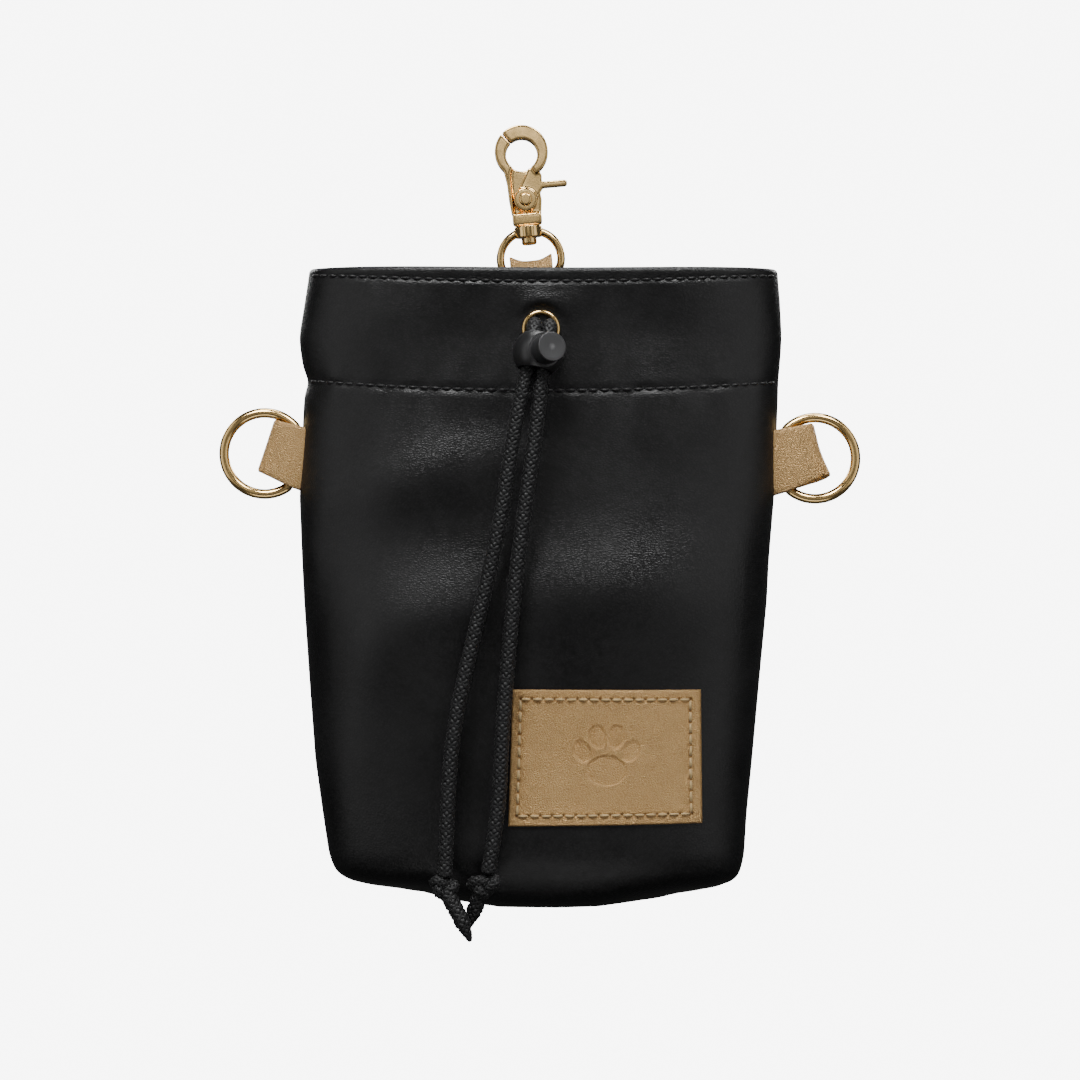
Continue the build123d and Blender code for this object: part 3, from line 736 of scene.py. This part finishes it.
def stitch_row(name, points, outward, radius, material, fill=0.78):
    """Raised stitches between evenly spaced needle holes, each a thread that dips at both ends."""
    verts, faces = [], []
    for a, b, up in zip(points[:-1], points[1:], outward):
        a, b, up = np.array(a), np.array(b), np.array(up)
        gap = (1 - fill) / 2
        line = []
        for t in np.linspace(gap, 1 - gap, 9):
            arch = sin(pi * (t - gap) / fill)
            line.append(a + (b - a) * t + up * radius * (1.1 * arch - 0.25))
        sizes = [radius * (0.62 + 0.38 * sin(pi * k / 8)) for k in range(9)]
        closed_tube(np.array(line), sizes, 8, verts, faces)
    return mesh_piece(name, verts, faces, material, "pouch")


def walk_wall(line, front):
    """Needle holes along a stitch line on the wall, with the surface's outward direction."""
    angle = np.linspace(SEAM_MARGIN, pi - SEAM_MARGIN, 900)
    between_lines = np.full(len(angle), -60.0)
    x = wall_point(angle, between_lines, front)[:, 0] / MM
    dense = wall_point(angle, line(x), front)
    hang_rim(dense)
    points = respaced(dense, STITCH_PITCH)
    outward = np.cross(np.gradient(points, axis=0), (0, 0, 1.0)) * (1 if front else -1)
    outward /= np.linalg.norm(outward, axis=1)[:, None]
    return points, outward


for is_front, side_name in ((True, "front"), (False, "back")):
    for stitch_line, row_name in ((hem_line, "hem"), (channel_line, "channel")):
        holes, directions = walk_wall(stitch_line, is_front)
        stitch_row(f"{row_name}_stitches_{side_name}", holes, directions, 0.42 * MM, BLACK_THREAD)


# ================================================================================================
# Eyelet
# ================================================================================================
def lathe(name, profile, centre, axis_out, material, body, stands_for, around=72):
    """A ring turned from a closed profile of (radius, height) pairs, in millimetres."""
    out = Vector(axis_out).normalized()
    side = out.orthogonal().normalized()
    up = out.cross(side)
    verts = []
    for k in range(around):
        turn = 2 * pi * k / around
        spoke = side * cos(turn) + up * sin(turn)
        for radius, height in profile:
            verts.append(Vector(centre) + (spoke * radius + out * height) * MM)
    count = len(profile)
    faces = []
    for k in range(around):
        m = (k + 1) % around
        for j in range(count):
            n = (j + 1) % count
            faces.append((k * count + j, m * count + j, m * count + n, k * count + n))
    return mesh_piece(name, verts, faces, material, body, stands_for)


def eyelet_profile(inner, outer, crown, throat):
    """A rolled flange, round on top, with a throat that goes through the leather."""
    middle, half = (inner + outer) / 2, (outer - inner) / 2
    profile = []
    for k in range(13):
        turn = pi * k / 12
        profile.append((middle + half * cos(turn), crown * sin(turn)))
    profile += [(inner, -throat), (inner + 0.2, -throat), (inner + 0.2, -0.3), (outer - 0.15, -0.25)]
    return profile


lathe("eyelet_ring", eyelet_profile(inner=3.9, outer=5.4, crown=0.75, throat=2.4),
      (EYELET.x, POUCH_Y - (EYELET_DEPTH + EYELET_RISE) * MM, EYELET.z),
      (0, -1, 0), GOLD_METAL, "pouch", ["eyelet"])


# ================================================================================================
# Label
# ================================================================================================
LABEL_WIDE, LABEL_HIGH = 54.0, 38.2  # mm
LABEL_THICK, LABEL_EDGE_DROP = 1.05, 0.55  # mm off the leather, and how much lower its edge is
LABEL_CORNERS_MM = {  # as sewn on: slightly out of square
    "top_left": (-2.3, -154.2), "top_right": (50.6, -154.5),
    "bottom_left": (-3.5, -192.6), "bottom_right": (51.1, -192.2),
}


def paw_print(u, v):
    """Depth, from 0 to 1, of a paw pressed into the label. u and v are mm from its middle."""
    # x, y, half width, half height and lean in degrees
    pads = [(0, -3.6, 5.6, 4.3, 0), (-6.9, 1.9, 2.3, 3.1, 24), (-2.6, 5.9, 2.4, 3.3, 8),
            (2.6, 5.9, 2.4, 3.3, -8), (6.9, 1.9, 2.3, 3.1, -24)]
    depth = np.zeros_like(u)
    for x0, y0, wide, high, lean in pads:
        c, s = cos(radians(lean)), sin(radians(lean))
        a = ((u - x0) * c + (v - y0) * s) / wide
        b = (-(u - x0) * s + (v - y0) * c) / high
        edge = (1 - np.sqrt(a * a + b * b)) * min(wide, high)
        depth = np.maximum(depth, np.clip(edge / 0.55 + 0.5, 0, 1))
    return depth


def label_surface(s, t, lift):
    """Points lift mm off the leather: s runs from left to right, t from bottom to top, 0 to 1."""
    corners = {k: np.array(v) for k, v in LABEL_CORNERS_MM.items()}
    low = corners["bottom_left"] * (1 - s)[..., None] + corners["bottom_right"] * s[..., None]
    high = corners["top_left"] * (1 - s)[..., None] + corners["top_right"] * s[..., None]
    flat = low * (1 - t)[..., None] + high * t[..., None]
    x, z = flat[..., 0], flat[..., 1]
    half_width, half_depth, centre = section_at(z)
    share = np.clip((x - centre) / half_width, -0.98, 0.98)
    calm = np.clip(np.sqrt(1 - share**2) * 2.2, 0, 1)
    depth = half_depth * bulge(share) + folds(x, z, FRONT_FOLDS) * calm
    return np.stack([x * MM, POUCH_Y - (depth + lift) * MM, z * MM], axis=-1)


def add_label():
    """A gold leather patch, sunk along its stitches and where the paw is pressed in."""
    # each row of stitches, in mm from the lower left corner, with its number of stitches
    sides = {
        "top": ((2.4, 35.5), (50.8, 35.4), 15), "bottom": ((2.4, 2.9), (50.8, 2.9), 15),
        "left": ((2.4, 2.9), (2.4, 35.5), 10), "right": ((50.8, 2.9), (50.8, 35.4), 10),
    }
    columns, rows = 232, 166
    s, t = np.meshgrid(np.linspace(0, 1, columns), np.linspace(0, 1, rows))
    u, v = (s - 0.5) * LABEL_WIDE, (t - 0.5) * LABEL_HIGH
    from_edge = np.minimum(LABEL_WIDE / 2 - np.abs(u), LABEL_HIGH / 2 - np.abs(v))
    lift = LABEL_THICK - LABEL_EDGE_DROP * np.clip(1 - from_edge / 0.5, 0, 1) ** 2
    lift -= 0.26 * bell(from_edge - 2.8, 0.7)
    lift -= 0.42 * paw_print(u, v)
    lift += 0.10 * np.sin(u / 9.0 + 0.6) * np.sin(v / 7.0)
    for (u0, v0), (u1, v1), stitches in sides.values():
        for k in np.linspace(0, 1, stitches + 1):
            hole = np.hypot(u + LABEL_WIDE / 2 - u0 - (u1 - u0) * k, v + LABEL_HIGH / 2 - v0 - (v1 - v0) * k)
            lift -= 0.5 * bell(hole, 0.42)
    face = label_surface(s, t, lift)
    back = label_surface(s, t, np.full_like(lift, 0.12))
    count = columns * rows
    faces = grid_faces(rows, columns)
    faces += [tuple(i + count for i in reversed(f)) for f in grid_faces(rows, columns)]
    rim = list(range(columns))
    rim += [r * columns + columns - 1 for r in range(1, rows)]
    rim += [(rows - 1) * columns + k for k in range(columns - 2, -1, -1)]
    rim += [r * columns for r in range(rows - 2, 0, -1)]
    for a, b in zip(rim, rim[1:] + rim[:1]):
        faces.append((b, a, a + count, b + count))
    verts = np.concatenate([face.reshape(-1, 3), back.reshape(-1, 3)])
    mesh_piece("label", verts, faces, GOLD_LEATHER, "pouch", ["label_patch"])
    for side, (a, b, count) in sides.items():
        k = np.linspace(0, 1, count + 1)
        s = (a[0] + (b[0] - a[0]) * k) / LABEL_WIDE
        t = (a[1] + (b[1] - a[1]) * k) / LABEL_HIGH
        points = label_surface(s, t, np.full(count + 1, LABEL_THICK - 0.03))
        outward = np.tile((0.0, -1.0, 0.0), (count + 1, 1))
        stitch_row(f"label_stitches_{side}", points, outward, 0.40 * MM, GOLD_THREAD, fill=0.76)


add_label()


# ================================================================================================
# Straps
# ================================================================================================
STRAP_WIDE = 12.4 * MM  # the back strap
STRAP_THICK, SIDE_STRAP_THICK = 1.1 * MM, 1.0 * MM
HOOK_LEAN = radians(5.1)  # of the hook and the back strap, from the upright


def strip(name, path, widths, thickness, across, material, stands_for, crowns=None):
    """A flat strap along a path. across gives the width's direction at each point.

    crowns raises the strap's middle above its edges at each point.
    """
    across_steps = np.linspace(-1, 1, 25)
    around = [(k, 1.0) for k in across_steps] + [(k, -1.0) for k in across_steps[::-1]]
    edge = 0.42 * thickness
    verts = []
    if crowns is None:
        crowns = np.zeros(len(path))
    for point, tangent, width, side, crown in zip(path, headings(path), widths, across, crowns):
        side = side - tangent * np.dot(side, tangent)
        side /= np.linalg.norm(side)
        up = np.cross(tangent, side)
        for k, level in around:
            reach = width / 2 * k
            from_edge = width / 2 * (1 - abs(k))
            round_off = sqrt(min(1.0, from_edge / edge))
            height = level * thickness / 2 * (0.35 + 0.65 * round_off) + crown * (1 - k * k)
            verts.append(point + side * reach + up * height)
    faces = tube_faces(len(path), len(around))
    return mesh_piece(name, verts, faces, material, "pouch", stands_for)


def loop_outline(points):
    """Evenly spaced points, in mm, of the smooth line that the given corners draw."""
    line = nurbs_line("strap_line", [(a, b, 0) for a, b in points])
    return respaced(line, 0.5 * MM) / MM


def side_strap(name, root, fold_top, fold_bottom, root_width, node, outward, droop):
    """A strap out of the side seam, round the D-ring's bar and back into the seam. Places are in mm.

    Its width changes from the root to the fold, and its back leg hangs lower by the droop.
    """
    root = np.array(root)
    fold = (np.array(fold_top) + np.array(fold_bottom)) / 2
    length = np.linalg.norm(fold - root) - 1.5
    reach = (fold - root) / np.linalg.norm(fold - root)
    lean = np.array(fold_top) - np.array(fold_bottom)
    fold_width = np.linalg.norm(lean)
    lean = lean / fold_width
    seam = np.array((-reach[2], 0, reach[0])) * (1 if outward > 0 else -1)
    near = [(-5, 0.62), (-3.4, 0.75), (-2.2, 1.9), (0.4, 2.6), (3.0, 2.85), (length - 4.5, 2.8),
            (length - 1.6, 2.45), (length + 0.5, 1.5)]
    flat = near + [(length + 0.95, 0)] + [(along, -apart) for along, apart in reversed(near)]
    line = loop_outline(flat)
    path, across, widths = [], [], []
    for along, apart, _ in line:
        share = np.clip(along / length, 0, 1)
        drop = droop * share * np.clip((1.2 - apart) / 3.6, 0, 1)
        path.append((root + reach * along + np.array((0, -apart, -drop))) * MM)
        across.append(seam * (1 - share) + lean * share)
        widths.append((root_width + (fold_width - root_width) * share) * MM)
    strip(name, np.array(path), widths, SIDE_STRAP_THICK, np.array(across), GOLD_LEATHER, [node])


side_strap("strap_left", root=(-62.9, -22, -89.1), fold_top=(-70.6, -22, -77.9),
           fold_bottom=(-75.5, -22, -92.7), root_width=17.6, node="left_strap", outward=-1, droop=0.2)
side_strap("strap_right", root=(72.8, -22, -90.2), fold_top=(83.2, -22, -79.0),
           fold_bottom=(88.0, -22, -93.7), root_width=18.2, node="right_strap", outward=1, droop=1.3)


def back_strap():
    """The strap from the back panel up round the eye's bar and down again, pinched in the eye."""
    right = np.array((cos(HOOK_LEAN), 0, sin(HOOK_LEAN)))
    up = np.array((-sin(HOOK_LEAN), 0, cos(HOOK_LEAN)))
    # depth and height in mm: up in front, over the eye's bar and down behind
    corners = [(-3.0, -66), (-3.0, -58), (-3.0, -50), (-3.0, -42), (-2.6, -37), (-2.5, -31.0),
               (-1.4, -29.7), (1.4, -29.7), (2.5, -31.0), (2.5, -37.5), (0.6, -43), (-1.6, -49),
               (-1.85, -55), (-1.85, -60), (-1.85, -66)]
    line = loop_outline(corners)
    path = [(up * w + np.array((0, y, 0))) * MM for y, w, _ in line]
    across = [right] * len(path)
    widths = [STRAP_WIDE] * len(path)
    top = np.clip((line[:, 1] + 34.5) / 4.5, 0, 1)
    facing_up = 1.0 if np.cross(path[1] - path[0], right)[1] < 0 else -1.0
    strip("strap_back", np.array(path), widths, STRAP_THICK, np.array(across), GOLD_LEATHER, ["back_strap"],
          crowns=-2.0 * MM * facing_up * top**2)
    for offset in (-4.6, 4.6):
        holes = np.arange(-64.5, -50.5, 3.0)
        points = [(up * w + right * offset + np.array((0, -1.28, 0))) * MM for w in holes]
        outward = [np.array((0, 1.0, 0))] * len(points)
        stitch_row(f"strap_stitches_{'left' if offset < 0 else 'right'}", points, outward, 0.34 * MM,
                   GOLD_THREAD)


back_strap()

# ================================================================================================
# Finish of the CAD pieces
# ================================================================================================
def cast_copy(name, node_name, body, voxel, passes, keep=0.4):
    """A softened copy of a CAD piece, with the rounded edges of a casting or moulding.

    voxel is in mm, and keep is the share of the faces that is kept.
    """
    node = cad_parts[node_name]
    mesh = node.data.copy()
    mesh.transform(node.matrix_world)
    mesh.materials.clear()
    mesh.materials.append(GOLD_METAL)
    piece = new_object(name, mesh)
    modifier(piece, "REMESH", mode="VOXEL", voxel_size=voxel * MM)
    modifier(piece, "SMOOTH", factor=0.5, iterations=passes)
    modifier(piece, "DECIMATE", ratio=keep)
    apply_modifiers(piece)
    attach(piece, body)
    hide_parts(node_name)


cast_copy("hook_body", "clip_body", "clip", 0.14, 60)
cast_copy("hook_trigger", "clip_trigger", "trigger", 0.14, 40)
cast_copy("hook_eye", "clip_eye", "eye", 0.14, 12)
cast_copy("hook_rivet", "clip_rivet", "clip", 0.1, 24, 0.9)

CAD_FINISH = {  # material, and the width in mm of its bevelled edges
    "eyelet_washer": (GOLD_METAL, 0.1), "left_ring": (GOLD_METAL, 0), "right_ring": (GOLD_METAL, 0),
    "swivel_post": (GOLD_METAL, 0.1), "clip_spring": (SPRING_STEEL, 0),
    "lock_body": (LOCK_PLASTIC, 0.25), "lock_button": (BUTTON_PLASTIC, 0.12),
    "lock_spring": (SPRING_STEEL, 0), "drawstring_loop": (CORD_FIBRE, 0),
}
for node_name, (finish, edge_mm) in CAD_FINISH.items():
    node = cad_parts[node_name]
    if not node.material_slots:
        node.data.materials.append(finish)
    for material_slot in node.material_slots:
        material_slot.material = finish
    if edge_mm:
        modifier(node, "BEVEL", width=edge_mm * MM, segments=3, limit_method="ANGLE", angle_limit=radians(48))


# ================================================================================================
# Studio
# ================================================================================================
PAPER_GLOW = 7.5
WORLD_GLOW = 0.06
MIDDLE = (0.005, -0.03, -0.12)
LIGHTS = {  # place, aim, size, power, and the size's shares in width and height
    "key_softbox": ((-0.25, -0.72, 0.80), MIDDLE, 0.42, 13, (1, 1)),
    "right_softbox": ((0.42, -0.72, 0.78), MIDDLE, 0.40, 8.5, (1, 1)),
    "rear_left_softbox": ((-0.80, 0.95, 0.45), MIDDLE, 0.45, 6, (1, 1)),
    "rear_right_softbox": ((0.80, 0.95, 0.45), MIDDLE, 0.45, 6, (1, 1)),
    "top_strip": ((0.05, 0.12, 0.85), MIDDLE, 0.30, 5, (2.0, 0.6)),
    "left_card": ((-1.0, -0.55, 0.05), MIDDLE, 0.5, 2.7, (1, 3.0)),
    "right_card": ((1.0, -0.55, 0.05), MIDDLE, 0.5, 2.7, (1, 3.0)),
    "low_card": ((0.0, -0.75, -0.95), MIDDLE, 0.5, 1.8, (1.8, 0.7)),
    "front_card": ((0.0, -1.6, -0.12), MIDDLE, 1.0, 0.5, (1, 1)),
    "left_wing": ((-0.85, -1.25, -0.10), MIDDLE, 0.4, 1.2, (1, 3.0)),
    "right_wing": ((0.85, -1.25, -0.10), MIDDLE, 0.4, 1.2, (1, 3.0)),
    "hook_card": ((0.0, -1.6, 0.245), (0, 0, 0), 0.26, 0.19, (1, 0.45)),
}


def add_backdrop():
    """A pale seamless floor well below the hanging pouch, curving up into a wall all round it."""
    floor_z, wall, radius, around = -0.62, 3.4, 1.4, 96
    profile = [(0.6, floor_z), (1.3, floor_z)]
    for k in range(17):
        turn = pi / 2 * k / 16
        profile.append((wall - radius + radius * sin(turn), floor_z + radius - radius * cos(turn)))
    profile += [(wall, 3.5), (0.6, 4.5)]
    verts = [(r * cos(2 * pi * k / around), r * sin(2 * pi * k / around), z)
             for r, z in profile for k in range(around)]
    faces = grid_faces(len(profile), around, ring=True)
    faces.append(tuple(reversed(range(around))))
    mesh = bpy.data.meshes.new("backdrop")
    mesh.from_pydata(verts, [], faces)
    mesh.shade_smooth()
    sweep = new_object("backdrop", mesh)
    paper = Shader("backdrop_paper", (0.9, 0.9, 0.9), 0.9)
    paper.surface.inputs["Emission Color"].default_value = (1, 1, 1, 1)
    paper.surface.inputs["Emission Strength"].default_value = PAPER_GLOW
    mesh.materials.append(paper.material)
    # the bright paper is only a background: it doesn't light the pouch or show in its metal
    sweep.visible_diffuse = False
    sweep.visible_glossy = False


def add_light(name, place, aim, size, power, shape):
    """A rectangular soft light that points at its aim."""
    data = bpy.data.lights.new(name, "AREA")
    data.shape = "RECTANGLE"
    data.size, data.size_y = size * shape[0], size * shape[1]
    data.energy = power
    light = new_object(name, data)
    light.location = place
    direction = Vector(aim) - Vector(place)
    light.rotation_euler = direction.to_track_quat("-Z", "Y").to_euler()


def add_studio():
    add_backdrop()
    for name, settings in LIGHTS.items():
        add_light(name, *settings)
    world = bpy.data.worlds.new("studio")
    world.use_nodes = True
    world.node_tree.nodes["Background"].inputs["Color"].default_value = (1, 1, 1, 1)
    world.node_tree.nodes["Background"].inputs["Strength"].default_value = WORLD_GLOW
    bpy.context.scene.world = world


add_studio()
